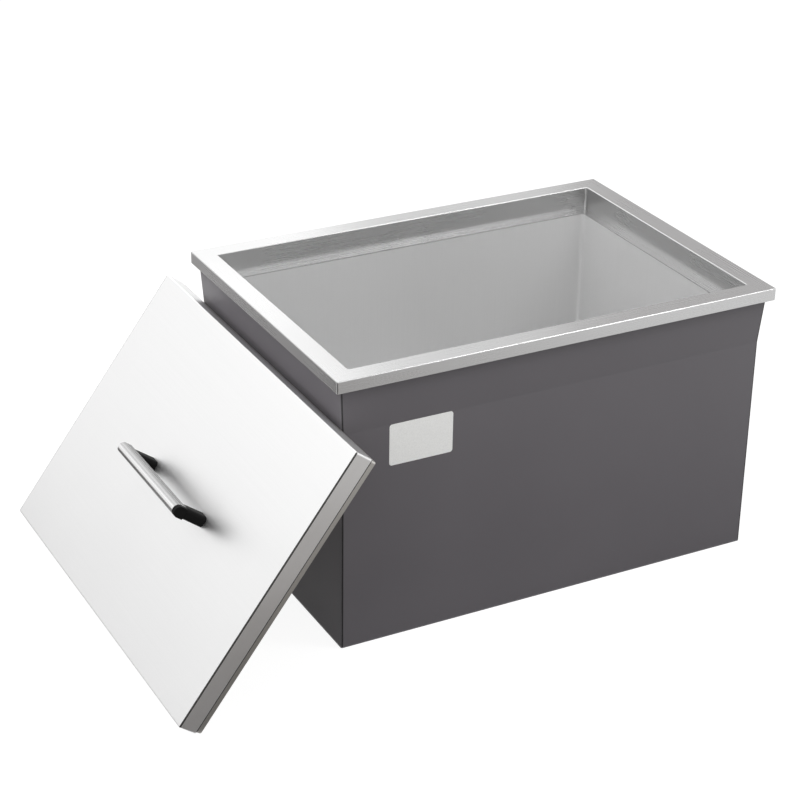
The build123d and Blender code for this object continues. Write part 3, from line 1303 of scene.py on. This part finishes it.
def add_camera(scene):
    """The camera at the photograph's place and angle."""
    lens = bpy.data.cameras.new("camera")
    lens.lens = CAMERA_LENS
    lens.sensor_width = 36.0
    lens.clip_end = 50.0
    camera = bpy.data.objects.new("camera", lens)
    scene.collection.objects.link(camera)
    turn = Matrix((CAMERA_RIGHT, CAMERA_UP, CAMERA_BACK)).transposed().to_4x4()
    camera.matrix_world = Matrix.Translation(CAMERA_PLACE) @ turn
    scene.camera = camera


def add_floor(scene, color):
    """A plain paper floor. It is lit as grey paper, and what the camera and reflections
    see of it is near white with the object's shadow."""
    paper, tree, output = new_material("White studio paper")
    lit = add_node(tree, "ShaderNodeBsdfDiffuse", {"Color": (*color, 1)})
    faint = add_node(tree, "ShaderNodeBsdfDiffuse", {"Color": (0.2, 0.2, 0.2, 1)})
    glow = add_node(tree, "ShaderNodeEmission", {"Color": (1, 1, 1, 1), "Strength": 0.9})
    shown = add_node(tree, "ShaderNodeAddShader", {0: faint.outputs[0], 1: glow.outputs[0]})
    mixed = add_node(
        tree,
        "ShaderNodeMixShader",
        {0: shown_share(tree), 1: lit.outputs[0], 2: shown.outputs[0]},
    )
    tree.links.new(mixed.outputs[0], output.inputs["Surface"])
    corners = lying((-12, -12), (12, 12), FLOOR_Z)
    floor = bpy.data.objects.new("floor", flat_mesh("floor", corners, paper))
    scene.collection.objects.link(floor)


def add_world(scene, sky):
    """Even light from all round, which the camera and reflections see as white."""
    world = bpy.data.worlds.new("studio")
    world.use_nodes = True
    scene.world = world
    tree = world.node_tree
    tree.nodes.clear()
    output = tree.nodes.new("ShaderNodeOutputWorld")
    even = add_node(tree, "ShaderNodeBackground", {"Color": (1, 1, 1, 1), "Strength": sky})
    white = add_node(tree, "ShaderNodeBackground", {"Color": (1, 1, 1, 1), "Strength": 1.0})
    mixed = add_node(
        tree,
        "ShaderNodeMixShader",
        {0: shown_share(tree), 1: even.outputs[0], 2: white.outputs[0]},
    )
    tree.links.new(mixed.outputs[0], output.inputs["Surface"])


class COOLER_OT_stage(bpy.types.Operator):
    """Build the camera, floor, lamps and world"""

    bl_idname = "cooler.stage"
    bl_label = "Stage"

    def execute(self, context):
        scene = context.scene
        stage = scene.cooler_stage
        scene.view_settings.view_transform = "Standard"
        add_camera(scene)
        add_floor(scene, stage.floor)
        add_world(scene, stage.sky)

        front = lying((-1.6, -1.9), (0.95, -0.245), CARD_Z)
        add_card("front_card", stage.card_dark, stage.card_light, front, -0.2, 0.52)
        left = [(-2.0, 0.4, 0.0), (-2.0, -2.5, 0.0), (-2.0, -2.5, 2.2), (-2.0, 0.4, 2.2)]
        add_card("left_card", stage.card_left, stage.card_left, left)
        rear = lying((-1.6, 0.25), (-0.28, 1.5), CARD_Z)
        add_card("rear_card", stage.card_rear, stage.card_side, rear, 0.35, 1.3, "Y")
        add_shade("shade_card", stage.card_shade, (-0.1025, 0.0), (0.3475, 0.205), 0.45, 0.72)
        side = [(0.72, 0.95, 0.1), (1.6, 0.6, 0.1), (1.6, 0.6, 1.4), (0.72, 0.95, 1.4)]
        add_card("side_card", stage.card_side, stage.card_side, side)

        add_lamp("key_lamp", stage.key, 0.5, (0.87, -0.89, 1.56), (0.1, -0.1, 0.3))
        add_lamp("front_lamp", stage.front, 1.6, (-0.4, -2.3, 1.5), (0.0, -0.17, 0.15))
        add_lamp("top_lamp", stage.top, 1.0, (0.0, 0.0, 2.2), (0.0, 0.0, 0.0))
        add_lamp("back_lamp", stage.back, 0.8, (0.0, 1.1, 0.95), (-0.1, 0.0, 0.3))
        beside_lid = (-0.25, 0.0, 0.2)
        add_lamp("left_lamp", stage.left, 2.0, (-1.9, -0.3, 1.5), beside_lid, mirrored=False)
        add_lamp("lid_lamp", stage.lid, 2.0, (-1.5, 0.9, 1.7), beside_lid)
        return {"FINISHED"}


# Add-on


class COOLER_PT_panel(bpy.types.Panel):
    """Lists the cooler's pieces in the sidebar"""

    bl_label = "Drop-in cooler"
    bl_idname = "COOLER_PT_panel"
    bl_space_type = "VIEW_3D"
    bl_region_type = "UI"
    bl_category = "Cooler"

    def draw(self, context):
        for piece in PIECES:
            self.layout.operator(piece.bl_idname)
        for name, group in GROUPS:
            box = self.layout.box()
            for key in group.__annotations__:
                box.prop(getattr(context.scene, name), key)


GROUPS = (
    ("cooler_steel", CoolerSteel),
    ("cooler_casing", CoolerCasing),
    ("cooler_label", CoolerLabel),
    ("cooler_plastics", CoolerPlastics),
    ("cooler_stage", CoolerStage),
)
PIECES = (
    COOLER_OT_stage,
    COOLER_OT_rim,
    COOLER_OT_bin,
    COOLER_OT_casing,
    COOLER_OT_label,
    COOLER_OT_seams,
    COOLER_OT_drain,
    COOLER_OT_lid,
    COOLER_OT_handle,
)


def register():
    """Registers the groups, the operators and the panel."""
    for name, group in GROUPS:
        bpy.utils.register_class(group)
        setattr(bpy.types.Scene, name, bpy.props.PointerProperty(type=group))
    for piece in PIECES:
        bpy.utils.register_class(piece)
    bpy.utils.register_class(COOLER_PT_panel)


def unregister():
    """Takes away what register made, last first."""
    bpy.utils.unregister_class(COOLER_PT_panel)
    for piece in reversed(PIECES):
        bpy.utils.unregister_class(piece)
    for name, group in reversed(GROUPS):
        delattr(bpy.types.Scene, name)
        bpy.utils.unregister_class(group)


def main():
    """Registers the add-on and makes every piece and the stage in order."""
    register()
    for piece in PIECES:
        group, name = piece.bl_idname.split(".")
        getattr(getattr(bpy.ops, group), name)()


if __name__ == "__main__":
    main()
